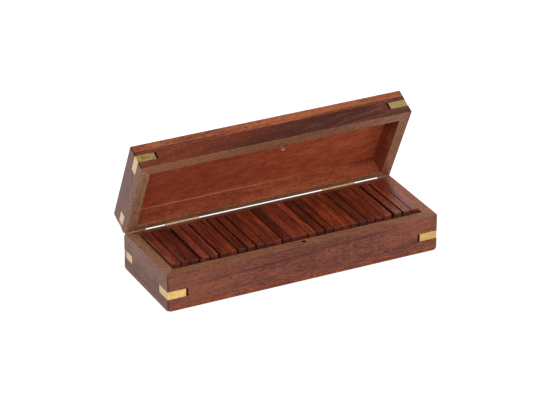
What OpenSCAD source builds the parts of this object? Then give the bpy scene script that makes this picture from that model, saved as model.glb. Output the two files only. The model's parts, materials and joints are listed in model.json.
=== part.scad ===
// Hinged hardwood box for a double-six domino set, shown with its lid open
// Millimetres. X runs along the box, the front is at -Y, Z is up, the underside lies at Z = 0.
// The box is sized from the tiles that it holds.

/* [Domino set] */
// Length of a tile
tile_l = 50; // [44:0.5:60]
// Height of a tile that stands on its long edge
tile_h = 25; // [22:0.5:32]
// Thickness of a tile
tile_t = 5.9; // [5:0.1:8]
// Radius of the eased tile edges
tile_ease = 0.4; // [0.2:0.1:1.4]
// Highest number of pips on half a tile
top_pips = 6; // [3:1:6]
// Distance between neighbouring pips
pip_pitch = 6.4; // [5:0.1:6.8]
// Radius of the ball cutter that drills a pip
pip_ball_r = 2.4; // [1.8:0.1:3]
// Depth of a drilled pip
pip_depth = 0.7; // [0.4:0.05:1]
// Width of the groove across the middle of a tile
split_w = 0.9; // [0.5:0.1:1.5]
// Depth of the groove across the middle of a tile
split_depth = 0.4; // [0.2:0.05:0.8]

/* [Fit of the set] */
// Free length that the uneven gaps in the row share
row_slack = 19.4; // [16:0.1:30]
// Free space between a tile's end and the wall
tile_end_gap = 2.1; // [0.5:0.1:3]
// Height by which the tiles stand above the rim
tile_proud = 2.2; // [0:0.1:5]
// Most that a tile strays to the front or back in its row
tile_stray = 0.3; // [0:0.05:0.4]

/* [Carcase] */
// Thickness of the mitred walls
wall_t = 7.7; // [6.5:0.1:10]
// Thickness of the bottom panel
bottom_t = 4; // [3:0.1:7]
// Height of the lid's walls
lid_wall_h = 12.9; // [12:0.1:18]
// Thickness of the lid's top panel
top_t = 6.7; // [3:0.1:8]
// Gap between the two rims when the box is shut
rim_gap = 0.1; // [0.05:0.05:0.3]
// Radius of the eased upright corners
corner_ease = 0.5; // [0.3:0.1:1.5]
// Radius of the eased edges of both rims
rim_ease = 0.25; // [0.1:0.05:0.8]
// Radius of the eased edge under the bottom panel
foot_ease = 0.7; // [0.5:0.1:2.5]
// Radius of the worn tips of the bottom panel's corners
tip_ease = 2.9; // [0.5:0.1:3]
// Radius of the eased edge around the top panel
crown_ease = 0.5; // [0.3:0.1:2.5]

/* [Lid hinges] */
// Angle by which the lid stands open
lid_angle = 64; // [0:1:100]
// Distance of the hinge line from the back face
pin_inset = 2.2; // [1.8:0.1:2.6]
// Slope of the stop bevel on both back edges
bevel_angle = 54; // [46:1:60]
// Length of the left end that keeps its full edge
stop_left = 15.1; // [10:0.1:20]
// Length of the right end that keeps its full edge
stop_right = 9.5; // [9:0.1:20]
// Length of a hinge
hinge_l = 24.5; // [20:0.5:32]
// Distance from the box's middle to the left hinge's middle
hinge_left = 58.2; // [40:0.5:62]
// Distance from the box's middle to the right hinge's middle
hinge_right = 60.1; // [40:0.5:62]
// Reach of a leaf below or above the hinge line
leaf_reach = 9.2; // [8:0.1:11]
// Thickness of the leaf sheet
leaf_t = 0.5; // [0.4:0.05:0.8]
// Outer radius of the knuckles
knuckle_r = 1.1; // [1:0.05:1.2]
// Number of knuckles, shared by both leaves
knuckles = 5; // [3:2:7]
// Gap between neighbouring knuckles
knuckle_gap = 0.2; // [0.1:0.05:0.4]
// Radius of the hinge pin
pin_r = 0.5; // [0.4:0.05:0.6]
// Distance between the two nails of a leaf
nail_spread = 16; // [12:0.5:18]
// Radius of a nail's shank
nail_r = 0.5; // [0.4:0.05:0.6]
// Length of a nail below its head
nail_l = 5; // [4:0.1:5.6]
// Radius of a nail's domed head
nail_head_r = 1; // [0.8:0.05:1.2]
// Height of a nail's domed head
nail_head_h = 0.4; // [0.2:0.05:0.6]

/* [Corner straps] */
// Length of each arm of a strap
strap_arm = 13.2; // [10:0.1:18]
// Width of a strap
strap_w = 5.5; // [4:0.1:7]
// Thickness of a strap
strap_t = 1.2; // [0.8:0.1:2]
// Outer radius of a strap's bend
strap_bend = 0.7; // [0.5:0.1:2]
// Length by which a mortise outruns its strap on the long walls
mortise_over = 1.7; // [0.3:0.1:2]
// Length by which a mortise outruns its strap on the end walls
mortise_over_end = 0.7; // [0.3:0.1:2]
// Height of the base straps' lower edge above the underside
base_strap_z = 9.2; // [5:0.1:12]
// Height of the lid straps' lower edge above the lid's rim
lid_strap_z = 5.6; // [3:0.1:6]

/* [Catch] */
// Distance of the catch from the box's middle, to the right
catch_x = 1.5; // [-20:0.5:20]
// Distance of the catch from the middle of the wall's thickness, towards the inside
catch_in = 0.8; // [0:0.1:1]
// Radius of the catch wire
wire_r = 0.35; // [0.25:0.05:0.45]
// Spread of the two legs where they leave the rim
leg_spread = 1.8; // [1.8:0.1:3]
// Depth of the legs in the lid's rim
leg_depth = 5; // [3:0.1:8]
// Reach of the loop below the rim
loop_reach = 5.9; // [5:0.1:8]
// Radius of the loop along the middle of the wire
loop_r = 1; // [0.8:0.05:1.3]
// Radius of the hole that the loop snaps into
catch_hole_r = 1.6; // [1.55:0.05:2]

/* [Hidden] */
// Fit of let-in brass around its edges
inlay_gap = 0.05;
// Air around the pin in its knuckles
pin_gap = 0.03;
// Air between a moving knuckle and the wood
knuckle_air = 0.12;
// Air between each leaf and the plane on which the leaves would meet
leaf_air = 0.05;
// Air around a nail or a wire leg in its hole
nail_gap = 0.02;
// Overrun of every cut past the surface it opens
over = 1;
// Relative widths of the uneven gaps along the row, from the left wall to the right wall
gap_shares = [7, 9, 1, 19, 5, 13, 4, 9, 10, 10, 3, 3, 7, 4, 2,
              4, 5, 10, 3, 3, 3, 5, 6, 3, 5, 16, 12, 4, 9];

// Every pair of pip counts, in the order of the row
tiles = [for (a = [0:top_pips]) for (b = [a:top_pips]) [a, b]];
tile_count = len(tiles);
function tile_name(i) = str("tile_", tiles[i][0], "_", tiles[i][1]);
function sum(list, n) = n <= 0 ? 0 : list[n - 1] + sum(list, n - 1);
shares_in_all = sum(gap_shares, tile_count + 1);
// Left face of a tile, measured from the left wall
function tile_x(i) = i * tile_t + row_slack * sum(gap_shares, i + 1) / shares_in_all;
// Turn from one tile's stray to the next one's, in degrees
stray_turn = 137;
function tile_y(i) = tile_stray * sin(i * stray_turn);

inner_l = tile_count * tile_t + row_slack;
inner_w = tile_l + 2 * tile_end_gap;
box_l = inner_l + 2 * wall_t;
box_w = inner_w + 2 * wall_t;
base_wall_h = tile_h - tile_proud;
base_h = bottom_t + base_wall_h;
lid_h = lid_wall_h + top_t;
lid_z = base_h + rim_gap;

pin_y = box_w / 2 - pin_inset;
pin_z = base_h + rim_gap / 2;
// The edges are cut back until the leaves' webs fit between them and the meeting plane
relief = (leaf_t + leaf_air) / sin(bevel_angle);
hinge_xs = [-hinge_left, hinge_right];
knuckle_pitch = hinge_l / knuckles;
nail_drop = (leaf_reach + bevel_drop(leaf_t)) / 2;
catch_y = -box_w / 2 + wall_t / 2 + catch_in;

// Drop below the hinge line at which a sheet along the bevel turns into the upright plate
function bevel_drop(t) = (pin_inset - t + relief) * tan(bevel_angle);

wood = "#7d4637";
wood_end = "#84665f";
wood_panel = "#7a3a28";
tile_wood = "#5f2219";
brass = "#e3bd72";

corner_tags = ["front_left", "front_right", "back_left", "back_right"];
corner_signs = [[-1, -1], [1, -1], [-1, 1], [1, 1]];

$fn = 48;

// Flat outlines

module rounded_rect(l, w, r) {
    square([l - 2 * r, w], center = true);
    square([l, w - 2 * r], center = true);
    for (x = [-1, 1], y = [-1, 1])
        translate([x * (l / 2 - r), y * (w / 2 - r)]) circle(r);
}

// A rectangle that stands on its lower edge, whose two lower corners are rounded
module eased_foot_outline(w, h, r) {
    translate([-w / 2, r]) square([w, h - r]);
    translate([r - w / 2, 0]) square([w - 2 * r, h]);
    for (x = [-1, 1]) translate([x * (w / 2 - r), r]) circle(r);
}

// The plan of the wall at the front; the mitres run into the inner corners
module mitred_outline(l, w) {
    polygon([[-l / 2, -w / 2], [l / 2, -w / 2],
             [l / 2 - wall_t, wall_t - w / 2], [wall_t - l / 2, wall_t - w / 2]]);
}

// A wall cut across its length; its rim is on top, but below on the lid
module wall_section(h, is_lid) {
    translate([0, is_lid ? h : 0]) mirror([0, is_lid ? 1 : 0]) {
        square([wall_t, h - rim_ease]);
        translate([rim_ease, 0]) square([wall_t - 2 * rim_ease, h]);
        for (x = [rim_ease, wall_t - rim_ease]) translate([x, h - rim_ease]) circle(rim_ease);
    }
}

// One strap seen from above, with its outer corner at the origin
module strap_outline() {
    difference() {
        polygon([[0, 0], [strap_arm, 0], [strap_arm, strap_t],
                 [strap_t, strap_t], [strap_t, strap_arm], [0, strap_arm]]);
        difference() {
            translate([-over, -over]) square(strap_bend + over);
            translate([strap_bend, strap_bend]) circle(strap_bend);
        }
    }
}

// Moves

module along_x(l) {
    rotate([90, 0, 90]) translate([0, 0, -l / 2]) linear_extrude(l) children();
}

module along_y(w) {
    rotate([90, 0, 0]) translate([0, 0, -w / 2]) linear_extrude(w) children();
}

module at_corner(signs, z) {
    translate([signs.x * box_l / 2, signs.y * box_w / 2, z])
        mirror([signs.x > 0 ? 1 : 0, 0, 0])
            mirror([0, signs.y > 0 ? 1 : 0, 0]) children();
}

// Drawn for the shut lid, turned open about the hinge line
module open_lid() {
    translate([0, pin_y, pin_z]) rotate([-lid_angle, 0, 0]) translate([0, -pin_y, -pin_z]) children();
}

// What is drawn below the hinge line for the base is mirrored above it for the lid
module lid_side(is_lid) {
    translate([0, pin_y, pin_z]) mirror([0, 0, is_lid ? 1 : 0]) children();
}

// Carcase

module wall_blank(l, w, z, h, is_lid) {
    translate([0, 0, z]) intersection() {
        linear_extrude(h) mitred_outline(l, w);
        linear_extrude(h) rounded_rect(l, w, corner_ease);
        along_x(l) translate([-w / 2, 0]) wall_section(h, is_lid);
    }
}

module strap_mortise(signs, z) {
    at_corner(signs, z - inlay_gap) linear_extrude(strap_w + 2 * inlay_gap) {
        translate([-over, -over]) square([strap_arm + mortise_over + over, strap_t + over]);
        translate([-over, -over]) square([strap_t + over, strap_arm + mortise_over_end + over]);
    }
}

// The bevel that lets the lid turn about the hinge line and stops it
module bevel_cut(x0, x1, back) {
    run = pin_inset + back + over;
    translate([(x0 + x1) / 2, -back, 0]) along_x(x1 - x0)
        polygon([[0, 0], [run, -run * tan(bevel_angle)], [run, over], [0, over]]);
}

module end_bevel_cut(is_lid) {
    lid_side(is_lid) bevel_cut(-box_l / 2 - over, box_l / 2 + over, 0);
}

module hinge_cuts(is_lid) {
    lid_side(is_lid) {
        bevel_cut(stop_left - box_l / 2, box_l / 2 - stop_right, relief);
        for (x = hinge_xs) translate([x, 0, 0]) {
            rotate([0, 90, 0])
                cylinder(r = knuckle_r + knuckle_air, h = hinge_l + 2 * knuckle_gap, center = true);
            translate([-hinge_l / 2 - inlay_gap, pin_inset - leaf_t, -leaf_reach - inlay_gap])
                cube([hinge_l + 2 * inlay_gap, leaf_t + over, leaf_reach]);
            for (side = [-1, 1]) translate([side * nail_spread / 2, 0, 0]) nail_bore();
        }
    }
}

module nail_bore() {
    translate([0, pin_inset + over, -nail_drop]) rotate([90, 0, 0])
        cylinder(r = nail_r + nail_gap, h = nail_l + over);
}

module front_wall(z, h, strap_z, is_lid) {
    difference() {
        wall_blank(box_l, box_w, z, h, is_lid);
        for (i = [0, 1]) strap_mortise(corner_signs[i], strap_z);
        children();
    }
}

module back_wall(z, h, strap_z, is_lid) {
    difference() {
        rotate([0, 0, 180]) wall_blank(box_l, box_w, z, h, is_lid);
        for (i = [2, 3]) strap_mortise(corner_signs[i], strap_z);
        end_bevel_cut(is_lid);
        hinge_cuts(is_lid);
    }
}

// side is -1 for the left wall and 1 for the right wall
module end_wall(side, z, h, strap_z, is_lid) {
    difference() {
        rotate([0, 0, side * 90]) wall_blank(box_w, box_l, z, h, is_lid);
        for (signs = corner_signs) if (signs.x == side) strap_mortise(signs, strap_z);
        end_bevel_cut(is_lid);
    }
}

module eased_panel(t, edge_r, tip_r) {
    diagonal = (box_l + box_w) / sqrt(2);
    intersection() {
        linear_extrude(t) rounded_rect(box_l, box_w, corner_ease);
        along_x(box_l) eased_foot_outline(box_w, t, edge_r);
        along_y(box_w) eased_foot_outline(box_l, t, edge_r);
        intersection_for (turn = [-45, 45])
            rotate([0, 0, turn]) along_x(diagonal) eased_foot_outline(diagonal, t, tip_r);
    }
}

module base_bottom_panel() { color(wood_panel) eased_panel(bottom_t, foot_ease, tip_ease); }

module base_front_wall() {
    color(wood) front_wall(bottom_t, base_wall_h, base_strap_z, false)
        translate([catch_x, catch_y, base_h - loop_reach - over])
            cylinder(r = catch_hole_r, h = loop_reach + 2 * over);
}

module base_back_wall() { color(wood) back_wall(bottom_t, base_wall_h, base_strap_z, false); }

module base_end_wall(side) { color(wood_end) end_wall(side, bottom_t, base_wall_h, base_strap_z, false); }

module lid_top_panel() {
    color(wood_panel) open_lid()
        translate([0, 0, lid_z + lid_h]) mirror([0, 0, 1]) eased_panel(top_t, crown_ease, crown_ease);
}

module lid_front_wall() {
    color(wood) open_lid() front_wall(lid_z, lid_wall_h, lid_z + lid_strap_z, true)
        for (side = [-1, 1])
            translate([catch_x + side * leg_spread / 2, catch_y, lid_z - over])
                cylinder(r = wire_r + nail_gap, h = leg_depth + nail_gap + over);
}

module lid_back_wall() { color(wood) open_lid() back_wall(lid_z, lid_wall_h, lid_z + lid_strap_z, true); }

module lid_end_wall(side) {
    color(wood_end) open_lid() end_wall(side, lid_z, lid_wall_h, lid_z + lid_strap_z, true);
}

// Brass

module strap(signs, z) {
    at_corner(signs, z) linear_extrude(strap_w) strap_outline();
}

module base_strap(i) { color(brass) strap(corner_signs[i], base_strap_z); }

module lid_strap(i) { color(brass) open_lid() strap(corner_signs[i], lid_z + lid_strap_z); }

// A leaf's section: from the knuckle down the bevel, then down the back face
module leaf_outline() {
    down = [cos(bevel_angle), -sin(bevel_angle)];
    inward = [-sin(bevel_angle), -cos(bevel_angle)];
    outer_run = (pin_inset + leaf_air * sin(bevel_angle)) / cos(bevel_angle);
    polygon([inward * leaf_air,
             down * outer_run + inward * leaf_air,
             [pin_inset, -leaf_reach],
             [pin_inset - leaf_t, -leaf_reach],
             [pin_inset - leaf_t, -bevel_drop(leaf_t)],
             inward * (leaf_air + leaf_t)]);
}

// first is the number of the leaf's first knuckle: the base leaf has the even ones
module leaf(x, is_lid) {
    first = is_lid ? 1 : 0;
    lid_side(is_lid) translate([x, 0, 0]) difference() {
        union() {
            along_x(hinge_l) leaf_outline();
            for (k = [first:2:knuckles - 1]) knuckle(k, knuckle_r, -knuckle_gap / 2);
        }
        for (k = [1 - first:2:knuckles - 1]) knuckle(k, knuckle_r + knuckle_air, knuckle_gap / 2);
        rotate([0, 90, 0]) cylinder(r = pin_r + pin_gap, h = hinge_l + 2 * over, center = true);
        for (side = [-1, 1]) translate([side * nail_spread / 2, 0, 0]) nail_bore();
    }
}

module knuckle(k, r, grow) {
    translate([(k + 0.5) * knuckle_pitch - hinge_l / 2, 0, 0]) rotate([0, 90, 0])
        cylinder(r = r, h = knuckle_pitch + 2 * grow, center = true);
}

module hinge_pin(x) {
    color(brass) translate([x, pin_y, pin_z]) rotate([0, 90, 0])
        cylinder(r = pin_r, h = hinge_l, center = true);
}

module nail() {
    cap_r = (pow(nail_head_r, 2) + pow(nail_head_h, 2)) / (2 * nail_head_h);
    translate([0, pin_inset, -nail_drop]) rotate([90, 0, 0]) {
        cylinder(r = nail_r, h = nail_l);
        intersection() {
            translate([0, 0, cap_r - nail_head_h]) sphere(cap_r);
            translate([0, 0, -nail_head_h]) cylinder(r = nail_head_r + over, h = nail_head_h);
        }
    }
}

module hinge_nails(is_lid) {
    lid_side(is_lid)
        for (x = hinge_xs, side = [-1, 1]) translate([x + side * nail_spread / 2, 0, 0]) nail();
}

// Catch: a hairpin of wire whose loop hangs from the rim

// Half of the loop's turn that the wire follows and the turn between its points, in degrees
loop_turn = 150;
loop_step = 15;
// Number of points along the neck
neck_steps = 5;
loop_z = -(loop_reach - wire_r - loop_r);
function loop_point(a) = [loop_r * sin(a), loop_z - loop_r * cos(a)];
neck_end = loop_point(loop_turn);
leg_x = leg_spread / 2;
// From the leg at the rim, share 0, to the top of the loop, share 1
function neck_point(share) = [
    leg_x + (neck_end.x - leg_x) * (1 - cos(180 * share)) / 2, neck_end.y * share];
half_path = concat([for (a = [0:loop_step:loop_turn]) loop_point(a)],
                   [for (i = [neck_steps - 1:-1:0]) neck_point(i / neck_steps)], [[leg_x, leg_depth]]);
wire_path = concat([for (i = [len(half_path) - 1:-1:1]) [-half_path[i].x, half_path[i].y]], half_path);
wire_sides = 8;

function heading(path, i) =
    let (a = path[max(i - 1, 0)], b = path[min(i + 1, len(path) - 1)]) (b - a) / norm(b - a);
function ring(path, i) = let (t = heading(path, i)) [for (s = [0:wire_sides - 1])
    let (a = 360 * s / wire_sides, across = wire_r * cos(a))
    [path[i].x - t.y * across, wire_r * sin(a), path[i].y + t.x * across]];

module wire_tube(path) {
    n = len(path);
    polyhedron(
        points = [for (i = [0:n - 1]) each ring(path, i)],
        faces = concat(
            [[for (s = [0:wire_sides - 1]) s]],
            [[for (s = [wire_sides - 1:-1:0]) (n - 1) * wire_sides + s]],
            [for (i = [0:n - 2], s = [0:wire_sides - 1])
                let (u = (s + 1) % wire_sides, this = i * wire_sides, next = this + wire_sides)
                [this + s, next + s, next + u, this + u]]));
}

module catch_wire() {
    color(brass) open_lid() translate([catch_x, catch_y, lid_z]) wire_tube(wire_path);
}

// Domino tiles

// Places of the pips on half a tile, along its length and across it, in pip pitches
function pip_spots(n) = concat(
    n % 2 == 1 ? [[0, 0]] : [],
    n > 1 ? [[-1, -1], [1, 1]] : [],
    n > 3 ? [[-1, 1], [1, -1]] : [],
    n > 5 ? [[0, -1], [0, 1]] : []);

module tile_blank() {
    intersection() {
        linear_extrude(tile_h) rounded_rect(tile_t, tile_l, tile_ease);
        along_x(tile_t) translate([0, tile_h / 2]) rounded_rect(tile_l, tile_h, tile_ease);
        along_y(tile_l) translate([0, tile_h / 2]) rounded_rect(tile_t, tile_h, tile_ease);
    }
}

module tile(i) {
    color(tile_wood)
        translate([tile_x(i) - inner_l / 2 + tile_t / 2, tile_y(i), bottom_t]) difference() {
            tile_blank();
            translate([-tile_t / 2 - over, -split_w / 2, -over])
                cube([split_depth + over, split_w, tile_h + 2 * over]);
            for (half = [0, 1], spot = pip_spots(tiles[i][half]))
                translate([-tile_t / 2 - pip_ball_r + pip_depth,
                           (half - 0.5) * tile_l / 2 + spot.x * pip_pitch,
                           tile_h / 2 + spot.y * pip_pitch])
                    sphere(pip_ball_r);
        }
}

base_bottom_panel();
base_front_wall();
base_back_wall();
base_end_wall(-1);  // base_left_wall
base_end_wall(1);  // base_right_wall
lid_top_panel();
lid_front_wall();
lid_back_wall();
lid_end_wall(-1);  // lid_left_wall
lid_end_wall(1);  // lid_right_wall
for (i = [0:3]) {
    base_strap(i);
    lid_strap(i);
}
color(brass) leaf(hinge_xs[0], false);  // hinge_left_base_leaf
color(brass) open_lid() leaf(hinge_xs[0], true);  // hinge_left_lid_leaf
hinge_pin(hinge_xs[0]);  // hinge_left_pin
color(brass) leaf(hinge_xs[1], false);  // hinge_right_base_leaf
color(brass) open_lid() leaf(hinge_xs[1], true);  // hinge_right_lid_leaf
hinge_pin(hinge_xs[1]);  // hinge_right_pin
color(brass) hinge_nails(false);  // hinge_nails_base
color(brass) open_lid() hinge_nails(true);  // hinge_nails_lid
catch_wire();
for (i = [0:tile_count - 1]) tile(i);
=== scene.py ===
"""Finishes, studio and camera for a hardwood box with let-in brass that holds a set of dominoes.

Places are in metres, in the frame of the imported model. Patterns are measured in millimetres on the
pieces as they lie when the box is shut, so that they run on over the open lid's joints. There x and y
start from the middle of the box, towards its right end and its back, and z from the table.
"""

import json
from math import atan2, cos, pi, radians, sin

import bpy
from bpy.props import FloatProperty, FloatVectorProperty, IntProperty, PointerProperty
from bpy.types import Operator, Panel, PropertyGroup
from mathutils import Color, Euler, Matrix, Vector

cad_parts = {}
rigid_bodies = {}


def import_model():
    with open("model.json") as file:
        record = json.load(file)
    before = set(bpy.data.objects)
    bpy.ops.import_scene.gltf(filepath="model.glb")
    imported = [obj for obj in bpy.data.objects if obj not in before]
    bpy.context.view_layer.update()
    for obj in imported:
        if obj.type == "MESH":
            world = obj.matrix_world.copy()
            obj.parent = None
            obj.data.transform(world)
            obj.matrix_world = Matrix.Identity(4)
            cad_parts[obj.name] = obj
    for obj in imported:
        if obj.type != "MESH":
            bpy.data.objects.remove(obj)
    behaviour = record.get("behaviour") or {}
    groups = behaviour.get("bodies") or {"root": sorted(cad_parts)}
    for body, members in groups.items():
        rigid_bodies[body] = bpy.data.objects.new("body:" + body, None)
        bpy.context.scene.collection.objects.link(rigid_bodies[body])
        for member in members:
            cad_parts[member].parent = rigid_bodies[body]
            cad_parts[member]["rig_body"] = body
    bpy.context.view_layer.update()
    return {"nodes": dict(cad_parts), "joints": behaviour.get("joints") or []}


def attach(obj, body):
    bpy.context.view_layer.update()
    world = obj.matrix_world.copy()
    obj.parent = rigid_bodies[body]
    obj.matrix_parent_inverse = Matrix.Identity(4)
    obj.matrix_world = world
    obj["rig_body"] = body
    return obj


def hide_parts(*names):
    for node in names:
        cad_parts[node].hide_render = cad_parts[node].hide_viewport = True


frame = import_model()

bl_info = {
    "name": "Domino box finishes",
    "version": (1, 0, 0),
    "blender": (4, 5, 0),
    "location": "3D View > Sidebar > Domino box",
    "description": "Dresses the domino box in wood and brass and sets up its studio",
    "category": "Object",
}

MM = 0.001
HINGE = next(joint for joint in frame["joints"] if joint["name"] == "lid_hinge")
PIN = Vector(HINGE["pos_m"])
LID_TURN = radians(-HINGE["range_deg"][0])
TILES = sorted(name for name in frame["nodes"] if name.startswith("tile_"))


def shut_turn(body):
    """Turn about the hinge that brings a body from rest to the shut box."""
    return LID_TURN if body == "lid" else 0


def shut_box(node):
    """Lowest and highest corner of a CAD node as it lies in the shut box, in millimetres."""
    part = frame["nodes"][node]
    turn = Matrix.Rotation(shut_turn(part["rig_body"]), 3, "X")
    points = [turn @ (vertex.co - PIN) + PIN for vertex in part.data.vertices]
    return [Vector([side(point[axis] for point in points) / MM for axis in range(3)])
            for side in (min, max)]


HALF_LENGTH, HALF_WIDTH = shut_box("base_bottom_panel")[1].xy
INNER_LENGTH = -shut_box("base_left_wall")[1].x
INNER_WIDTH = shut_box("base_back_wall")[0].y
BASE_RIM = shut_box("base_front_wall")[1].z
LID_RIM = shut_box("lid_front_wall")[0].z
CEILING = shut_box("lid_top_panel")[0].z
HINGE_LINE = PIN / MM


def tint(red, green, blue):
    """A display colour, 0 to 255 a channel, as the linear one that a colour property holds."""
    return tuple(Color((red / 255, green / 255, blue / 255)).from_srgb_to_scene_linear())


def shade(name, description, red, green, blue):
    """A colour property whose default is a display colour."""
    return FloatVectorProperty(name=name, description=description, subtype="COLOR", size=3, min=0, max=1,
                               default=tint(red, green, blue))


def share(name, description, default):
    """A property from 0 to 1."""
    return FloatProperty(name=name, description=description, subtype="FACTOR", min=0, max=1,
                         default=default)


def size_mm(name, description, default):
    """A length property, given in millimetres and held in metres."""
    return FloatProperty(name=name, description=description, subtype="DISTANCE", unit="LENGTH", min=0,
                         precision=5, default=default * MM)


def metres(name, description, default, least=0.0):
    """A length property of the studio."""
    return FloatProperty(name=name, description=description, subtype="DISTANCE", unit="LENGTH", min=least,
                         default=default)


def spot(name, description, *default):
    """A place in the studio."""
    return FloatVectorProperty(name=name, description=description, subtype="XYZ", unit="LENGTH", size=3,
                               default=default)


class WallWood(PropertyGroup):
    """Colours and gloss of the mitred walls."""

    dark: shade("Dark streaks", "Dark streaks of the front and back walls", 90, 43, 32)
    middle: shade("Middle tone", "Most of the front and back walls", 127, 70, 55)
    light: shade("Light streaks", "Palest streaks of the front and back walls", 164, 95, 67)
    heart: shade("Heartwood", "Purplish heartwood that crosses the front walls", 74, 32, 20)
    ruddy: shade("Ruddy tone", "Left half of the lid's front wall", 122, 52, 25)
    ruddy_light: shade("Light ruddy tone", "Palest streaks there", 168, 80, 44)
    # The end walls' colours are greyer, partly the wood and partly a painted sheen
    end_dark: shade("End walls' streaks", "Dark streaks of the end walls", 84, 46, 32)
    end_middle: shade("End walls", "Most of the end walls", 120, 74, 57)
    end_light: shade("End walls' light streaks", "Palest streaks of the end walls", 156, 112, 92)
    # The inside colours are painted lighter than the outer faces, painted light for the light that falls
    # into the open lid
    inside_dark: shade("Inside streaks", "Dark streaks inside the lid", 134, 62, 42)
    inside: shade("Inside", "Walls inside the lid", 163, 82, 54)
    inside_light: shade("Light inside", "Palest streaks inside the lid", 186, 104, 70)
    pale_joint: shade("Pale joint", "Joint of the lid's back wall and its ceiling", 236, 176, 146)
    rim: shade("Rims", "Sanded rims of the long walls", 143, 95, 70)
    left_rim: shade("Left rims", "Sanded rims of the left walls", 156, 112, 83)
    right_rim: shade("Right rims", "Sanded rims of the right walls", 160, 98, 63)
    # Painted light: a pale strip on the edges at the hinge line past the stops, full at the left end and a
    # fifth as strong at the right
    bevel: shade("Stop bevels", "Edges at the hinge line beyond the hinges' relief", 196, 128, 92)
    # Colour of real grime in pores and joints, and of painted shade in arrises, mortises, corners, the
    # catch's hole and the gaps between tiles
    grime_and_shade: shade("Grime", "Oil and dust in arrises, joints and pores", 42, 24, 24)
    gloss: share("Gloss", "Share of full gloss that the oil gives", 0.22)
    roughness: share("Roughness", "Roughness of the oiled surface", 0.42)


class PanelWood(PropertyGroup):
    """Colours of the bottom and top panels."""

    dark: shade("Dark streaks", "Dark streaks of the panels", 106, 47, 31)
    middle: shade("Middle tone", "Most of the panels", 137, 69, 45)
    light: shade("Light streaks", "Palest streaks of the panels", 182, 102, 63)
    end: shade("Panel ends", "Edges of the panels above and below the end walls", 121, 80, 73)
    # The ceiling's colours are painted lighter than the panel's outer face, painted light for the light
    # that falls into the open lid
    inside_dark: shade("Dark ceiling", "Darker part of the lid's ceiling", 168, 76, 52)
    inside: shade("Ceiling", "Most of the lid's ceiling", 188, 91, 59)
    inside_light: shade("Light ceiling", "Orange figure of the lid's ceiling", 206, 110, 68)


class TileWood(PropertyGroup):
    """Colours and gloss of the tiles."""

    dark: shade("Dark tiles", "Maroon tiles", 88, 36, 23)
    muted: shade("Muted tiles", "Red-brown tiles", 107, 45, 27)
    red: shade("Red tiles", "Brighter red-brown tiles", 121, 51, 31)
    rosy: shade("Rosy tiles", "Tiles with a rosy cast", 128, 59, 43)
    orange: shade("Orange tiles", "Orange tiles", 140, 59, 31)
    end: shade("End grain", "End grain of the tiles", 86, 49, 42)
    pip: shade("Pips", "Paint in the drilled pips", 222, 206, 172)
    gloss: share("Gloss", "Share of full gloss that the polish gives", 0.5)
    roughness: share("Roughness", "Roughness of the polished surface", 0.3)


class Brass(PropertyGroup):
    """Colours and gloss of the brass, and sizes of the catch's wire."""

    clean: shade("Clean brass", "Rubbed brass", 246, 205, 130)
    dull: shade("Dull brass", "Tarnished spots", 206, 164, 104)
    # Painted reflection: the straps' arms on the end walls are painted paler
    pale_sheen: shade("Pale brass", "Arms of the straps on the end walls", 198, 168, 132)
    # Painted highlight: the knuckles' bright colours, brighter at the left hinge, and painted shade on
    # their flanks
    slit: shade("Dusty brass", "Knuckles and bends of the left hinge", 255, 220, 170)
    slit_right: shade("Dusty brass, right", "Knuckles and bends of the right hinge", 255, 200, 134)
    flank: shade("Shaded brass", "Flanks of the knuckles", 118, 66, 38)
    wire: shade("Catch wire", "Dull wire of the catch", 188, 176, 132)
    roughness: share("Roughness", "Roughness of the sanded brass", 0.32)
    loop: size_mm("Loop radius", "Radius of the catch's loop along the middle of its wire", 1.0)
    spread: size_mm("Leg spread", "Distance between the catch's legs at the rim", 1.8)
    depth: size_mm("Leg depth", "Depth of the catch's legs in the rim", 5.0)
    sides: IntProperty(name="Wire sides", description="Faces around the catch's wire", min=6, default=16)


class Studio(PropertyGroup):
    """Floor, light and camera."""

    floor_radius: metres("Floor radius", "Radius of the round floor", 4, 1)
    floor_colour: FloatVectorProperty(
        name="Floor", description="Colour of the floor", subtype="COLOR", min=0, max=1,
        default=(0.8, 0.8, 0.8))
    floor_glow: FloatProperty(
        name="Floor glow", description="What the floor adds towards the camera, to show white", min=0,
        default=0.6)
    overhead: FloatVectorProperty(
        name="Overhead", description="What the gloss of the object reflects from above", subtype="COLOR",
        min=0, max=1, default=(0.34, 0.39, 0.42))
    ambient: FloatProperty(
        name="Even light", description="Strength of the light from all round", min=0, default=0.62)
    key_power: FloatProperty(
        name="Key lamp", description="Power of the large lamp at the front left",
        subtype="POWER", min=0, default=6)
    key_size: metres("Key lamp's size", "Side of the key lamp", 0.9)
    key_place: spot("Key lamp's place", "Middle of the key lamp", -0.6, -1.0, 1.1)
    fill_power: FloatProperty(
        name="Fill lamp", description="Power of the lamp at the right",
        subtype="POWER", min=0, default=2)
    fill_size: metres("Fill lamp's size", "Side of the fill lamp", 0.8)
    fill_place: spot("Fill lamp's place", "Middle of the fill lamp", 1.2, -0.5, 0.7)
    azimuth: FloatProperty(
        name="Camera azimuth", description="Turn of the camera round the box, zero at the front",
        subtype="ANGLE", default=radians(-26.492))
    elevation: FloatProperty(
        name="Camera elevation", description="Height of the camera above the horizon",
        subtype="ANGLE", default=radians(26.457))
    distance: metres("Camera distance", "Distance from the camera to its aim", 1.9328, 0.5)
    lens: FloatProperty(
        name="Focal length", description="Focal length on a sensor 36 mm wide",
        subtype="DISTANCE_CAMERA", min=20, default=187.78)
    aim: spot("Camera aim", "Point at the middle of the picture", 0.00376, 0.01734, 0.03456)


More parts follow.
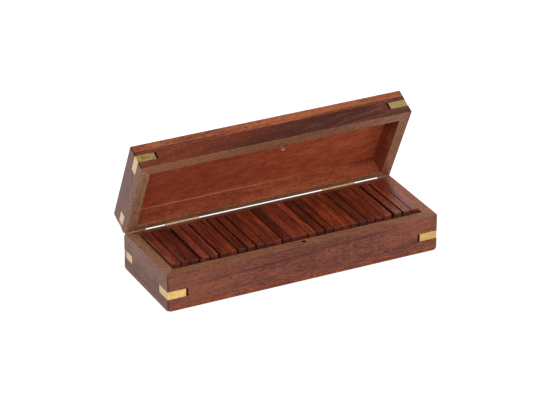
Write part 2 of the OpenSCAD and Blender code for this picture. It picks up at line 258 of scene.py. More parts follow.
class DominoBox(PropertyGroup):
    """Everything that a user of the box would change."""

    walls: PointerProperty(type=WallWood, name="Walls", description="Wood of the mitred walls")
    panels: PointerProperty(type=PanelWood, name="Panels", description="Wood of the panels")
    tiles: PointerProperty(type=TileWood, name="Tiles", description="Wood of the tiles")
    brass: PointerProperty(type=Brass, name="Brass", description="Straps, hinges, nails and catch")
    studio: PointerProperty(type=Studio, name="Studio", description="Floor, light and camera")


class Value:
    """One output of a shader node. Arithmetic on it adds Math nodes to its graph."""

    def __init__(self, graph, socket):
        self.graph = graph
        self.socket = socket

    def math(self, operation, *operands):
        return self.graph.node("ShaderNodeMath", {"operation": operation}, dict(enumerate(operands)))

    def __add__(self, other):
        return self.math("ADD", self, other)

    def __sub__(self, other):
        return self.math("SUBTRACT", self, other)

    def __rsub__(self, other):
        return self.math("SUBTRACT", other, self)

    def __mul__(self, other):
        return self.math("MULTIPLY", self, other)

    def __abs__(self):
        return self.math("ABSOLUTE", self)

    def greatest(self, other):
        return self.math("MAXIMUM", self, other)

    __radd__ = __add__
    __rmul__ = __mul__


class Graph:
    """A node tree, with the one method that adds nodes to it and short forms of common nodes."""

    def __init__(self, tree):
        self.tree = tree

    def node(self, kind, settings=None, inputs=None, output=0):
        """Adds a node. Its settings come first, then the values or links of its sockets."""
        made = self.tree.nodes.new(kind)
        for name, setting in (settings or {}).items():
            if name == "stops":
                set_stops(made.color_ramp, setting)
            else:
                setattr(made, name, setting)
        for name, value in (inputs or {}).items():
            if isinstance(value, Value):
                self.tree.links.new(value.socket, made.inputs[name])
            else:
                made.inputs[name].default_value = value
        return Value(self, made.outputs[output])

    def outputs(self, value):
        """All outputs of the node that made value."""
        return [Value(self, socket) for socket in value.socket.node.outputs]

    def axes(self, place):
        """The x, y and z of a place."""
        return self.outputs(self.node("ShaderNodeSeparateXYZ", None, {0: place}))

    def mix(self, factor, first, second):
        """A blend of two colours, from the first at 0 to the second at 1."""
        first, second = (colour if isinstance(colour, Value) else (*colour, 1)
                         for colour in (first, second))
        return self.node("ShaderNodeMix", {"data_type": "RGBA"}, {0: factor, 6: first, 7: second}, 2)

    def between(self, value, low, high):
        """0 below low, 1 above high, and a smooth step between them. Low may be the higher one."""
        return self.node("ShaderNodeMapRange", {"interpolation_type": "SMOOTHSTEP"},
                         {"Value": value, "From Min": low, "From Max": high})

    def span(self, value, start, full, last, end):
        """Rises from 0 at start to 1 at full, stays so until last and is back at 0 at end."""
        return self.between(value, start, full) * self.between(value, end, last)

    def near(self, value, centre, full, end):
        """1 within full of the centre on both sides, falling to 0 at end."""
        return self.between(abs(value - centre), end, full)

    def ramp(self, value, *stops):
        """The colour at value on a ramp of positions and linear colours."""
        return self.node("ShaderNodeValToRGB", {"stops": stops}, {0: value})

    def noise(self, place, rate, shift, detail, roughness):
        """Soft noise about 0.5. Rate is its number of waves a millimetre along each axis."""
        place = self.node("ShaderNodeMapping", None, {"Vector": place, "Location": shift, "Scale": rate})
        return self.node("ShaderNodeTexNoise", None, {
            "Vector": place, "Scale": 1.0, "Detail": detail, "Roughness": roughness})


class Finish(Graph):
    """A new material, and the surface that its nodes feed."""

    def __init__(self, name):
        self.material = bpy.data.materials.new(name)
        self.material.use_nodes = True
        super().__init__(self.material.node_tree)
        self.surface = self.tree.nodes["Principled BSDF"]

    def set(self, name, value):
        """Gives a socket of the surface a value or a link."""
        socket = self.surface.inputs[name]
        if isinstance(value, Value):
            self.tree.links.new(value.socket, socket)
        else:
            socket.default_value = value

    def relief(self, height, depth_mm, strength):
        """Feeds a bump of that depth to the surface's normal."""
        self.set("Normal", self.node("ShaderNodeBump", None, {
            "Height": height, "Distance": depth_mm * MM, "Strength": strength}))

    def shut_place(self, body):
        """A point's place in the shut box, in millimetres."""
        turn = Euler((shut_turn(body), 0, 0))
        shift = (PIN - turn.to_matrix() @ PIN) / MM
        point = self.node("ShaderNodeTexCoord", output=3)
        return self.node("ShaderNodeMapping", None, {
            "Vector": point, "Location": shift, "Rotation": turn, "Scale": (1 / MM,) * 3})

    def turned(self, place, *degrees):
        """A place turned about the three axes."""
        turn = [radians(angle) for angle in degrees]
        return self.node("ShaderNodeMapping", None, {"Vector": place, "Rotation": turn})


def set_stops(ramp, stops):
    """Gives a colour ramp its stops, each a position and a linear colour."""
    while len(ramp.elements) < len(stops):
        ramp.elements.new(1)
    for element, (position, colour) in zip(ramp.elements, stops):
        element.position = position
        element.color = (*colour, 1)


def stretch(grain, along, across):
    """Rates of a pattern that is drawn out along the grain axis, 0 for X and 1 for Y."""
    return [along if axis == grain else across for axis in range(3)]


class Board:
    """The figure of one board. Its grain runs along X, 0, or Y, 1, and may rise by a few degrees."""

    def __init__(self, finish, place, grain, seed, rise=0.0, flecks=0.35):
        shift = (37.0 * seed, 11.0 * seed, 23.0 * seed)
        if rise:
            place = finish.turned(place, 0, rise, 0)

        def noise(along, across, detail, roughness):
            return finish.noise(place, stretch(grain, along, across), shift, detail, roughness)

        self.drift = noise(along=0.008, across=0.05, detail=2.0, roughness=0.5)
        self.streaks = noise(along=0.04, across=0.5, detail=3.0, roughness=0.6)
        self.fibres = noise(along=0.38, across=1.8, detail=3.0, roughness=0.7)
        self.flecks = noise(along=flecks, across=1.5, detail=1.0, roughness=0.5)
        self.mottle = noise(along=0.09, across=0.2, detail=2.0, roughness=0.5)
        self.ribbon = noise(along=0.5, across=0.05, detail=0.0, roughness=0.5)
        self.pores = finish.between(self.flecks, 0.57, 0.68)

    def tone(self, drift=0.6, streaks=0.8, fibres=1.5, mottle=0.4):
        """How light the wood is, about 0.5 on the whole. Each part of the figure has its weight."""
        value = 0.5 - 0.5 * (drift + streaks + fibres + mottle)
        for part, weight in ((self.drift, drift), (self.streaks, streaks),
                             (self.fibres, fibres), (self.mottle, mottle)):
            value = part * weight + value
        return value


# How far the grime-and-shade colour covers the wood, from 0 to 1: grime in its pores, painted shade in a
# mortise and darkening on a corner
PORE_GRIME = 0.42
MORTISE_SHADE = 0.95
ARRIS_DARKENING = 0.7
OIL_IOR = 1.46


def oiled(finish, board, colour, grime_and_shade, gloss, roughness):
    """Gives the surface its colour and the sheen and relief of oiled open-pored wood."""
    finish.set("Base Color", finish.mix(board.pores * PORE_GRIME, colour, grime_and_shade))
    finish.set("Roughness", roughness + (board.fibres - 0.5) * 0.25 + board.pores * 0.1)
    finish.set("IOR", OIL_IOR)
    finish.set("Specular IOR Level", gloss)
    finish.relief(board.fibres * 0.5 - board.pores, depth_mm=0.05, strength=0.6)


def give(node, finish):
    """Puts the finish on a CAD node."""
    for slot in frame["nodes"][node].material_slots:
        slot.material = finish.material


def darken_arrises(finish, colour, x, y, z, grime_and_shade):
    """Darkens the upright corner arrises, and the edge that the box stands on, partly as painted shade
    where it meets the floor.
    """
    from_corner = (HALF_LENGTH + HALF_WIDTH) - abs(x) - abs(y)
    mask = finish.between(from_corner, 1.1, 0.35).greatest(finish.between(z, 0.9, 0.25))
    return finish.mix(mask * ARRIS_DARKENING, colour, grime_and_shade)


class DOMINOBOX_OT_panels(Operator):
    """Oils the bottom panel and the lid's top panel"""

    bl_idname = "dominobox.panels"
    bl_label = "Oil the panels"

    def execute(self, context):
        settings = context.scene.domino_box
        for node, body, seed in (("base_bottom_panel", "base", 3), ("lid_top_panel", "lid", 8)):
            self.panel(node, body, seed, settings.panels, settings.walls)
        return {"FINISHED"}

    def panel(self, node, body, seed, wood, walls):
        """One panel. The lid's has a joint round its edge and a ceiling of its own colours, painted lighter
        as painted light, with painted shade in its corners at the end walls.
        """
        finish = Finish(f"{node}_wood")
        place = finish.shut_place(body)
        x, y, z = finish.axes(place)
        board = Board(finish, place, 0, seed)
        right = finish.between(x, -60, 90)
        tone = board.tone(drift=0.6, streaks=0.7, fibres=1.4, mottle=0.4) + right * 0.1 - 0.05
        if body == "lid":
            tone = tone + finish.near(x, 45, 10, 60) * 0.12 + 0.12
        colour = finish.ramp(tone, (0.25, wood.dark), (0.5, wood.middle), (0.8, wood.light))
        if body == "lid":
            outer = finish.between(x, -20, -55).greatest(finish.between(x, 10, 40))
            joint = finish.near(z, CEILING + 0.6, 0.3, 1.1) * outer
            colour = finish.mix(joint * 0.75, colour, walls.grime_and_shade)
            tone = board.tone(drift=0.7, streaks=0.5, fibres=1.0, mottle=1.1) + right * 0.24 - 0.12
            ceiling = finish.ramp(tone, (0.2, wood.inside_dark), (0.5, wood.inside),
                                  (0.8, wood.inside_light))
            # Painted shade in the ceiling's corners at the end walls
            corner = finish.between(abs(x), INNER_LENGTH - 1.6, INNER_LENGTH - 0.2)
            ceiling = finish.mix(corner * 0.5, ceiling, walls.grime_and_shade)
            colour = finish.mix(finish.between(z, CEILING + 0.4, CEILING + 0.1), colour, ceiling)
        ends = finish.between(abs(x), HALF_LENGTH - 0.5, HALF_LENGTH - 0.2)
        colour = finish.mix(ends * (1.3 - tone * 0.8), colour, wood.end)
        colour = darken_arrises(finish, colour, x, y, z, walls.grime_and_shade)
        oiled(finish, board, colour, walls.grime_and_shade, walls.gloss, walls.roughness)
        give(node, finish)


# Seed of the first wall's board
WALL_SEED = 11
# Degrees by which the grain of a wall rises to the right
GRAIN_RISE = {("base", "front"): 3.5, ("lid", "front"): 7.6}
# Lightness of a wall's rim beside the rim colour of its side, as painted light and shade: darker on the
# base's back rim under the open lid, lighter on the lid's back and left rims and darker on its right rim
RIM_LIGHT_AND_SHADE = {("base", "back"): 0.8, ("lid", "back"): 1.5, ("lid", "left"): 1.14, ("lid", "right"): 0.88}
# Inner ends of the stop bevels at the left and right, from the ends of the box
LEFT_STOP, RIGHT_STOP = 15.1, 9.5
# How far the straps' mortises, with some to spare, reach from the corner and in from the face
MORTISE_REACH, MORTISE_DEPTH = 16.5, 2.2
# Radius about the catch's middle within which the rim gets painted shade
CATCH_HOLE = 2.05


class DOMINOBOX_OT_walls(Operator):
    """Oils the mitred walls of the base and the lid"""

    bl_idname = "dominobox.walls"
    bl_label = "Oil the walls"

    def execute(self, context):
        wood = context.scene.domino_box.walls
        walls = [(body, side) for body in ("base", "lid") for side in ("front", "back", "left", "right")]
        for seed, (body, side) in enumerate(walls, start=WALL_SEED):
            self.wall(body, side, seed, wood)
        return {"FINISHED"}

    def wall(self, body, side, seed, wood):
        """One wall, from its face to the mortises, the inside and the rim."""
        node = f"{body}_{side}_wall"
        finish = Finish(f"{node}_wood")
        place = finish.shut_place(body)
        axes = finish.axes(place)
        x, y, z = axes
        long_wall = side in ("front", "back")
        board = Board(finish, place, 0 if long_wall else 1, seed, GRAIN_RISE.get((body, side), 0))
        if node == "base_front_wall":
            colour = self.base_front(finish, board, x, z, wood)
        elif node == "lid_front_wall":
            colour = self.lid_front(finish, board, x, z, wood)
        elif long_wall:
            colour = finish.ramp(board.tone(), (0.2, wood.dark), (0.5, wood.middle), (0.8, wood.light))
        else:
            colour = self.end_face(finish, board, place, z, wood, -0.1 if body == "lid" else 0)
        colour = self.mortises(finish, colour, axes, long_wall, wood)
        colour = darken_arrises(finish, colour, x, y, z, wood.grime_and_shade)
        colour = self.inside(finish, board, colour, body, side, axes, wood)
        colour = self.rim(finish, board, place, colour, body, side, axes, wood)
        if node == "base_front_wall":
            colour = self.shade_catch_hole(finish, colour, axes, wood)
        oiled(finish, board, colour, wood.grime_and_shade, wood.gloss, wood.roughness)
        give(node, finish)

    def end_face(self, finish, board, place, z, wood, shift):
        """Greyer wood with slanting marks of the sander, painted paler towards the top and darker near the
        floor as painted sheen.
        """
        marks = finish.noise(finish.turned(place, 32, 0, 0), rate=(0.5, 0.08, 1.1), shift=(1, 4, 9),
                             detail=3.0, roughness=0.6)
        # Painted sheen: paler towards the top and darker near the floor
        light = finish.between(z, 3, 25) * 0.3 - 0.15 + shift
        tone = (board.tone(drift=0.5, streaks=0.5, fibres=1.3, mottle=0.5)
                + (marks - 0.5) * 0.8 + light)
        return finish.ramp(tone, (0.1, wood.end_dark), (0.5, wood.end_middle), (0.9, wood.end_light))

    def base_front(self, finish, board, x, z, wood):
        """Quiet red-brown, darkest in the middle and the top, with a thin dark line that rises."""
        ribbon = finish.span(x, 5, 35, 70, 85)
        tone = (board.tone(drift=0.4, streaks=0.6, fibres=1.5, mottle=0.3)
                + (board.ribbon - 0.5) * ribbon * 0.25)
        low_middle = finish.near(x, 20, 15, 75) * 0.08
        colour = finish.ramp(tone - low_middle, (0.2, wood.dark), (0.5, wood.middle), (0.8, wood.light))
        centre = x * 0.05 + 19.5 + (board.drift - 0.5) * 5
        line = finish.near(z, centre, 0.2, 1.2) * finish.between(x, 75, 55) * 1.5
        upper = finish.between(z, 18, 23) * finish.span(x, -85, -50, 15, 45)
        colour = finish.mix(line.greatest(upper * 0.6) * 0.42, colour, wood.heart)
        left = finish.between(x, -20, -95) * 0.5
        right = finish.between(x, 35, 85) * finish.between(z, 9, 18) * 0.4
        return finish.mix(left.greatest(right) * (board.streaks * 1.6 - 0.2), colour, wood.light)

    def lid_front(self, finish, board, x, z, wood):
        """Ruddy at the left, with streaks of heartwood that thicken to the right."""
        tone = board.tone(drift=0.5, streaks=1.2, fibres=1.6, mottle=0.4)
        right = finish.between(x, -30, 60)
        middle = finish.mix(right, wood.ruddy, wood.middle)
        dark = finish.mix(finish.between(tone, 0.6, 0.1) * 0.7, middle, wood.dark)
        light = finish.mix(right, wood.ruddy_light, wood.light)
        colour = finish.mix(finish.between(tone, 0.45, 0.95) * 0.65, dark, light)
        edge = x - (z - LID_RIM) * 3.2 + (board.streaks - 0.5) * 200
        heart = finish.between(edge, -85, -5) * (1 - finish.between(edge, 5, 85) * 0.5)
        return finish.mix(heart * (1.25 - tone * 0.7), colour, wood.heart)

    def mortises(self, finish, colour, axes, long_wall, wood):
        """Paints shade on the sides and the floor of the mortises for the straps."""
        x, y, z = axes
        depth, reach = (abs(y), abs(x)) if long_wall else (abs(x), abs(y))
        face, end = (HALF_WIDTH, HALF_LENGTH) if long_wall else (HALF_LENGTH, HALF_WIDTH)
        floor, corner = face - MORTISE_DEPTH, end - MORTISE_REACH
        mask = (finish.span(depth, floor - 0.2, floor + 0.2, face - 0.8, face - 0.5)
                * finish.between(reach, corner - 0.5, corner + 0.5)
                * finish.between(abs(z - (BASE_RIM + LID_RIM) / 2), 1.0, 1.3))
        return finish.mix(mask * MORTISE_SHADE, colour, wood.grime_and_shade)

    def shade_catch_hole(self, finish, colour, axes, wood):
        """Paints shade into the hole in the rim that takes the catch."""
        x, y, z = axes
        low, high = shut_box("catch_wire")
        middle = (low + high) / 2
        full, end = CATCH_HOLE - 0.15, CATCH_HOLE + 0.15
        hole = (finish.near(x, middle.x, full, end) * finish.near(y, middle.y, full, end)
                * finish.between(z, BASE_RIM - 0.05, BASE_RIM - 0.4))
        return finish.mix(hole * 0.9, colour, wood.grime_and_shade)

    def inside(self, finish, board, colour, body, side, axes, wood):
        """The faces that look into the box, painted lighter than the outer faces as painted light, with
        painted shade on the end walls and in the lid's back corners.
        """
        x, y, z = axes
        long_wall = side in ("front", "back")
        depth, inner = (abs(y), INNER_WIDTH) if long_wall else (abs(x), INNER_LENGTH)
        tone = (board.tone(drift=0.5, streaks=0.6, fibres=1.5, mottle=0.7)
                + finish.between(x, -30, -90) * 0.15)
        # Painted shade: the end walls' insides are painted darker
        end_wall_shade = 1 if long_wall else 0.74
        dark, middle, light = (Vector(colour) * end_wall_shade
                               for colour in (wood.inside_dark, wood.inside, wood.inside_light))
        within = finish.ramp(tone, (0.2, dark), (0.5, middle), (0.8, light))
        if (body, side) == ("lid", "back"):
            joint = finish.between(z, CEILING - 0.9, CEILING - 0.4) * finish.between(x, 60, -20)
            within = finish.mix(joint * 0.6, within, wood.pale_joint)
            # Painted shade in the lid's back corners, at the end walls and below the ceiling at the right
            corner = finish.between(abs(x), INNER_LENGTH - 1.2, INNER_LENGTH - 0.2).greatest(
                finish.between(z, CEILING - 0.8, CEILING - 0.3) * finish.between(x, 50, 80))
            within = finish.mix(corner * 0.5, within, wood.grime_and_shade)
        return finish.mix(finish.between(depth, inner + 0.3, inner + 0.08), colour, within)

    def rim(self, finish, board, place, colour, body, side, axes, wood):
        """The sanded rim, with the line of its mitres and painted light on the edge at the hinge line."""
        x, y, z = axes
        if body == "lid":
            rim = finish.between(z, LID_RIM + 0.3, LID_RIM + 0.05)
        else:
            rim = finish.between(z, BASE_RIM - 0.3, BASE_RIM - 0.05)
        sanding = finish.noise(finish.turned(place, 0, 0, 35), rate=(0.12, 1.8, 0.5), shift=(3, 5, 7),
                               detail=2.0, roughness=0.5)
        base = Vector({"left": wood.left_rim, "right": wood.right_rim}.get(side, wood.rim))
        base *= RIM_LIGHT_AND_SHADE.get((body, side), 1)
        tone = board.tone(drift=0.3, streaks=0.8, fibres=2.1, mottle=0.4) + (sanding - 0.5) * 1.1
        if (body, side) == ("lid", "front"):
            tone = tone + finish.between(x, 0, -80) * 0.25 + 0.08
        sanded = finish.ramp(tone, (0.1, base * 0.6), (0.5, base), (0.9, base * 1.4))
        from_mitre = abs(abs(y) - abs(x) + (HALF_LENGTH - HALF_WIDTH))
        sanded = finish.mix(finish.between(from_mitre, 0.35, 0.08) * 0.55, sanded, wood.grime_and_shade)
        colour = finish.mix(rim, colour, sanded)
        if side != "back":
            return colour
        # Painted light on the edge at the hinge line beyond the stops, weaker at the right end
        left, right = LEFT_STOP - HALF_LENGTH, HALF_LENGTH - RIGHT_STOP
        past_stops = finish.between(x, left + 0.2, left - 0.2).greatest(
            finish.between(x, right - 0.2, right + 0.2) * 0.2)
        edge = finish.between(y, HINGE_LINE.y - 1.1, HINGE_LINE.y - 0.7) * past_stops
        return finish.mix(edge * finish.near(z, HINGE_LINE.z, 0.8, 1.2), colour, wood.bevel)


# Tone of each tile's left and right edge, from the left end of the row: dark, muted, red, rosy or orange
TILE_TONES = {"d": "dark", "m": "muted", "r": "red", "p": "rosy", "o": "orange"}
LEFT_TONES = "pmdpmrrmmmmrdprpdmooodmrrmor"
RIGHT_TONES = "rddpprodrmrodrroddrrddrmpppp"
# Seed of the first tile's board
TILE_SEED = 30
# Half lengths of a tile's pipped face and of the bare strip at its groove, and its bare top and bottom edge
PIPPED, GROOVE, BARE_EDGE = 24.1, 0.9, 1.0


class DOMINOBOX_OT_tiles(Operator):
    """Polishes the tiles, each from a board of its own, and paints their pips"""

    bl_idname = "dominobox.tiles"
    bl_label = "Polish the tiles"

    def execute(self, context):
        settings = context.scene.domino_box
        wood = settings.tiles
        boxes = [shut_box(node) for node in TILES]
        gaps = [0, *(after[0].x - before[1].x for before, after in zip(boxes, boxes[1:])), 0]
        for number, (node, *tones) in enumerate(zip(TILES, LEFT_TONES, RIGHT_TONES)):
            self.tile(node, number, [Vector(getattr(wood, TILE_TONES[tone])) for tone in tones],
                      boxes[number], gaps[number:number + 2], wood, settings.walls.grime_and_shade)
        return {"FINISHED"}

    def tile(self, node, number, tones, box, gaps, wood, grime_and_shade):
        """One tile between two tones. Its flanks carry painted shade, darker where the gap beside them is
        wider, and so do the edges of its end grain.
        """
        low, high = box
        finish = Finish(f"{node}_wood")
        place = finish.shut_place("base")
        x, y, z = finish.axes(place)
        board = Board(finish, place, 1, TILE_SEED + number, flecks=0.14)
        tone = board.tone(drift=0.6, streaks=2.1, fibres=1.7, mottle=0.4)
        left, right = (finish.ramp(tone, (0.1, base * 0.42), (0.5, base), (0.9, base * 1.75))
                       for base in tones)
        lean = 0.04 * sin(7 * number)
        across = x - (low.x + high.x) / 2 + y * lean + (board.drift - 0.5) * 6
        colour = finish.mix(finish.between(across, -1.4, 1.4), left, right)
        end_grain = finish.between(abs(y), high.y - 0.5, high.y - 0.2)
        colour = finish.mix(end_grain * 0.55, colour, wood.end)
        gap_shade_left, gap_shade_right = (min(max(gap * 2 - 0.5, 0), 0.8) for gap in gaps)
        left_side = finish.between(x, low.x + 0.45, low.x + 0.15)
        right_side = finish.between(x, high.x - 0.45, high.x - 0.15)
        # Painted shade on the flanks, from the width of the gap beside each
        sides = left_side * gap_shade_left + right_side * gap_shade_right
        below_top = finish.span(z, high.z - 3, high.z - 1, high.z - 0.25, high.z - 0.02)
        colour = finish.mix(sides * below_top, colour, grime_and_shade)
        # Painted shade on the side edges of the end grain
        colour = finish.mix((left_side + right_side) * end_grain * 0.6, colour, grime_and_shade)
        sunk = finish.span(x, low.x + 0.04, low.x + 0.12, low.x + 0.9, low.x + 1.0)
        on_face = (finish.span(abs(y), GROOVE - 0.1, GROOVE + 0.1, PIPPED - 0.1, PIPPED + 0.1)
                   * finish.span(z, low.z + BARE_EDGE - 0.1, low.z + BARE_EDGE + 0.1,
                                 high.z - BARE_EDGE - 0.1, high.z - BARE_EDGE + 0.1))
        colour = finish.mix(sunk * on_face, colour, wood.pip)
        oiled(finish, board, colour, grime_and_shade, wood.gloss, wood.roughness)
        give(node, finish)


class DOMINOBOX_OT_brass(Operator):
    """Rubs down the straps, hinges and nails"""

    bl_idname = "dominobox.brass"
    bl_label = "Rub down the brass"

    def execute(self, context):
        brass = context.scene.domino_box.brass
        for name, node in frame["nodes"].items():
            if "strap" in name or "hinge" in name:
                body = node["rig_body"]
                # Painted shade: the base's brass is painted darker than the lid's, a shaded copy of the
                # same brass
                clean = Vector(brass.clean) * (0.8 if body == "base" else 1)
                give(name, rubbed_brass(f"{name}_brass", body, brass, clean))
        return {"FINISHED"}


# Across the hinges' bright strips of painted highlight, square to the way one looks into the slit from the
# front; painted shade on the knuckles' flanks grows along it
ACROSS_SLIT = Vector((0, 0.486, 0.874))


def rubbed_brass(name, body, brass, clean):
    """Sanded brass with faint tarnish, made paler on the end walls by a painted reflection, and with a
    painted highlight and painted shade on the knuckles in the hinges' slit.
    """
    finish = Finish(name)
    place = finish.shut_place(body)
    x, y, z = finish.axes(place)
    tarnish_right = 0.15 if body == "base" else -0.15
    cloud = finish.noise(place, rate=(0.35, 0.35, 0.35), shift=(0, 0, 0), detail=4.0, roughness=0.7)
    cloud = cloud + finish.between(x, 20, 80) * tarnish_right
    scratches = finish.noise(place, rate=(0.5, 0.5, 5.0), shift=(5, 0, 0), detail=3.0, roughness=0.7)
    colour = finish.mix(finish.between(cloud, 0.4, 0.68), clean, Vector(brass.dull) * 0.85)
    # Painted reflection: paler brass on the arms on the end walls
    end_face = finish.between(abs(x), HALF_LENGTH - 0.15, HALF_LENGTH - 0.05)
    pale_sheen = finish.mix(finish.between(cloud, 0.4, 0.65) * 0.7, brass.pale_sheen, brass.dull)
    slit = finish.near(y, HINGE_LINE.y - 0.5, 1.6, 1.9)
    knuckle_highlight = finish.mix(finish.between(x, -20, 20), brass.slit, brass.slit_right)
    across = Matrix.Rotation(shut_turn(body), 3, "X") @ ACROSS_SLIT
    from_middle = abs((y - HINGE_LINE.y) * across.y + (z - HINGE_LINE.z) * across.z)
    # Painted shade on the knuckles' flanks
    knuckle_highlight = finish.mix(finish.between(from_middle, 0.4, 0.75) * 0.9, knuckle_highlight, brass.flank)
    finish.set("Base Color", finish.mix(slit, finish.mix(end_face, colour, pale_sheen), knuckle_highlight))
    # The knuckles are made nearly non-metallic so that their painted highlight shows
    finish.set("Metallic", 1 - slit * 0.95)
    finish.set("Roughness", brass.roughness + (scratches - 0.5) * 0.3)
    finish.relief(scratches, depth_mm=0.02, strength=0.4)
    return finish


# Angle from the foot of the catch's loop to its neck, and the steps of the loop's half and of a leg
LOOP_ANGLE = radians(150)
LOOP_STEPS = 14
LEG_STEPS = 8


class DOMINOBOX_OT_catch(Operator):
    """Bends the catch's wire"""

    bl_idname = "dominobox.catch"
    bl_label = "Bend the catch"

    def execute(self, context):
        brass = context.scene.domino_box.brass
        low, high = shut_box("catch_wire")
        middle = (low + high) / 2 * MM
        wire = (high.y - low.y) / 2 * MM
        points = self.path(brass, middle.x, low.z * MM + wire + brass.loop)
        piece = self.bend(points, middle.y, wire, brass.sides)
        piece.matrix_world = (Matrix.Translation(PIN) @ Matrix.Rotation(-LID_TURN, 4, "X")
                              @ Matrix.Translation(-PIN))
        bpy.ops.object.transform_apply()
        bpy.ops.object.shade_smooth_by_angle(angle=radians(40))
        piece.name = "catch_loop"
        piece.data.materials.append(rubbed_brass("catch_brass", "lid", brass, brass.wire).material)
        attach(piece, "lid")
        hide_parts("catch_wire")
        return {"FINISHED"}

    def path(self, brass, middle, loop_height):
        """Middle of the wire from the top of the left leg round the loop to that of the right leg."""
        rim = LID_RIM * MM
        half = [(brass.loop * sin(LOOP_ANGLE * i / LOOP_STEPS),
                 loop_height - brass.loop * cos(LOOP_ANGLE * i / LOOP_STEPS))
                for i in range(LOOP_STEPS + 1)]
        side, height = half[-1]
        leg = brass.spread / 2
        for i in range(1, LEG_STEPS + 1):
            rise = i / LEG_STEPS
            half.append((side + (leg - side) * (1 - cos(pi * rise)) / 2, height + (rim - height) * rise))
        half.append((leg, rim + brass.depth))
        return ([Vector((middle - x, 0, z)) for x, z in reversed(half[1:])]
                + [Vector((middle + x, 0, z)) for x, z in half])

    def bend(self, points, depth, radius, sides):
        """Extrudes a ring along the points, in the plane at that depth."""
        points = [point + Vector((0, depth, 0)) for point in points]
        bpy.ops.object.select_all(action="DESELECT")
        bpy.ops.mesh.primitive_circle_add(vertices=sides, radius=radius, location=points[0],
                                          fill_type="NGON")
        piece = bpy.context.object
        bpy.ops.object.transform_apply()
        bpy.ops.object.mode_set(mode="EDIT")
        bpy.ops.mesh.select_all(action="SELECT")
        headings = [(b - a).normalized() for a, b in zip(points, points[1:])]
        headings.append(headings[-1])
        was = headings[0]
        for i in range(1, len(points)):
            bpy.ops.mesh.extrude_region_move(TRANSFORM_OT_translate={"value": points[i] - points[i - 1]})
            now = (headings[i - 1] + headings[i]).normalized()
            turn = atan2(was.cross(now).y, was.dot(now))
            bpy.ops.transform.rotate(value=-turn, orient_axis="Y", orient_type="GLOBAL",
                                     center_override=points[i])
            was = now
        bpy.ops.mesh.select_all(action="SELECT")
        bpy.ops.mesh.normals_make_consistent(inside=False)
        bpy.ops.object.mode_set(mode="OBJECT")
        return piece


def shown_rays(graph):
    """1 for rays of the camera and for reflected and refracted ones, and 1 for the camera's alone."""
    rays = {ray.socket.name: ray for ray in graph.outputs(graph.node("ShaderNodeLightPath"))}
    seen = rays["Is Camera Ray"]
    return seen.greatest(rays["Is Glossy Ray"]).greatest(rays["Is Transmission Ray"]), seen


WHITE = (1, 1, 1, 1)
# Width of the camera's sensor in millimetres, and the nearest and farthest that it sees in metres
SENSOR_WIDTH = 36
CLIP_RANGE = (0.05, 50)


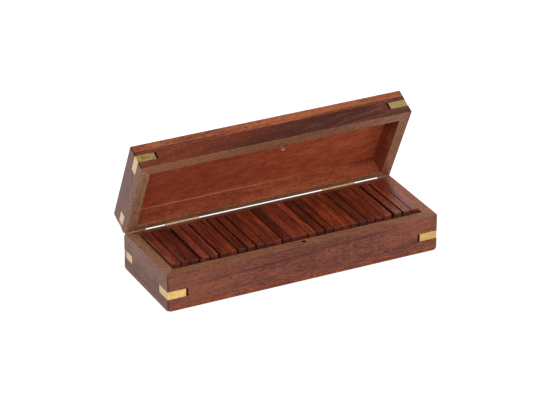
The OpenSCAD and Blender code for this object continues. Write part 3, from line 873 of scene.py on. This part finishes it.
class DOMINOBOX_OT_stage(Operator):
    """Sets up the floor, the backdrop, the light and the camera"""

    bl_idname = "dominobox.stage"
    bl_label = "Set up the studio"

    def execute(self, context):
        studio = context.scene.domino_box.studio
        self.floor(studio)
        self.backdrop(context.scene, studio)
        for name, place, size, power in (
                ("key_lamp", studio.key_place, studio.key_size, studio.key_power),
                ("fill_lamp", studio.fill_place, studio.fill_size, studio.fill_power)):
            self.lamp(context.scene, name, place, size, power, studio.aim)
        self.camera(context.scene, studio)
        context.scene.view_settings.view_transform = "Standard"
        return {"FINISHED"}

    def floor(self, studio):
        """A round floor that shows white and still takes the object's shadow."""
        bpy.ops.object.select_all(action="DESELECT")
        bpy.ops.mesh.primitive_circle_add(vertices=96, radius=studio.floor_radius, fill_type="NGON")
        floor = bpy.context.object
        floor.name = "floor"
        finish = Finish("white_floor")
        finish.set("Base Color", (*studio.floor_colour, 1))
        finish.set("Roughness", 1.0)
        finish.set("Specular IOR Level", 0.0)
        glow = finish.node("ShaderNodeEmission", None, {"Color": WHITE, "Strength": studio.floor_glow})
        lit = Value(finish, finish.surface.outputs[0])
        both = finish.node("ShaderNodeAddShader", None, {0: lit, 1: glow})
        mixed = finish.node("ShaderNodeMixShader", None, {0: shown_rays(finish)[0], 1: lit, 2: both})
        finish.tree.links.new(mixed.socket, finish.tree.nodes["Material Output"].inputs["Surface"])
        floor.data.materials.append(finish.material)

    def backdrop(self, scene, studio):
        """A white backdrop, with a greyer patch overhead for gloss alone, and even light."""
        world = bpy.data.worlds.new("studio")
        scene.world = world
        world.use_nodes = True
        graph = Graph(world.node_tree)
        shown, seen = shown_rays(graph)
        direction = graph.node("ShaderNodeTexCoord", output=0)
        height = graph.axes(direction)[2]
        overhead = graph.between(height, 0.5, 0.8) * (1 - seen)
        colour = graph.mix(overhead, WHITE[:3], studio.overhead)
        even = graph.node("ShaderNodeBackground", None, {"Color": WHITE, "Strength": studio.ambient})
        white = graph.node("ShaderNodeBackground", None, {"Color": colour, "Strength": 1.0})
        mixed = graph.node("ShaderNodeMixShader", None, {0: shown, 1: even, 2: white})
        graph.tree.links.new(mixed.socket, graph.tree.nodes["World Output"].inputs["Surface"])

    def lamp(self, scene, name, place, size, power, target):
        """A square lamp at the place that looks at the target."""
        light = bpy.data.lights.new(name, "AREA")
        light.size = size
        light.energy = power
        lamp = bpy.data.objects.new(name, light)
        scene.collection.objects.link(lamp)
        lamp.location = place
        lamp.rotation_euler = (Vector(place) - Vector(target)).to_track_quat("Z", "Y").to_euler()

    def camera(self, scene, studio):
        """A long lens at the studio's angles and distance from its aim."""
        lens = bpy.data.cameras.new("camera")
        lens.sensor_width = SENSOR_WIDTH
        lens.lens = studio.lens
        lens.clip_start, lens.clip_end = CLIP_RANGE
        turn = Euler((radians(90) - studio.elevation, 0, studio.azimuth)).to_matrix()
        camera = bpy.data.objects.new("camera", lens)
        scene.collection.objects.link(camera)
        camera.matrix_world = Matrix.Translation(
            Vector(studio.aim) + turn @ Vector((0, 0, studio.distance))) @ turn.to_4x4()
        scene.camera = camera


class DOMINOBOX_PT_panel(Panel):
    """Lists the box's settings and steps"""

    bl_idname = "DOMINOBOX_PT_panel"
    bl_label = "Domino box"
    bl_space_type = "VIEW_3D"
    bl_region_type = "UI"
    bl_category = "Domino box"

    def draw(self, context):
        box = context.scene.domino_box
        for group in (box.walls, box.panels, box.tiles, box.brass, box.studio):
            column = self.layout.column(heading=group.bl_rna.name)
            for name in group.__annotations__:
                column.prop(group, name)
        for step in STEPS:
            self.layout.operator(step.bl_idname)


STEPS = (DOMINOBOX_OT_stage, DOMINOBOX_OT_panels, DOMINOBOX_OT_walls, DOMINOBOX_OT_tiles,
         DOMINOBOX_OT_brass, DOMINOBOX_OT_catch)
CLASSES = (WallWood, PanelWood, TileWood, Brass, Studio, DominoBox, *STEPS, DOMINOBOX_PT_panel)


def register():
    for kind in CLASSES:
        bpy.utils.register_class(kind)
    bpy.types.Scene.domino_box = PointerProperty(type=DominoBox)


def unregister():
    del bpy.types.Scene.domino_box
    for kind in reversed(CLASSES):
        bpy.utils.unregister_class(kind)


def main():
    """Runs every step in order."""
    register()
    bpy.ops.dominobox.stage()
    bpy.ops.dominobox.panels()
    bpy.ops.dominobox.walls()
    bpy.ops.dominobox.tiles()
    bpy.ops.dominobox.brass()
    bpy.ops.dominobox.catch()


if __name__ == "__main__":
    main()
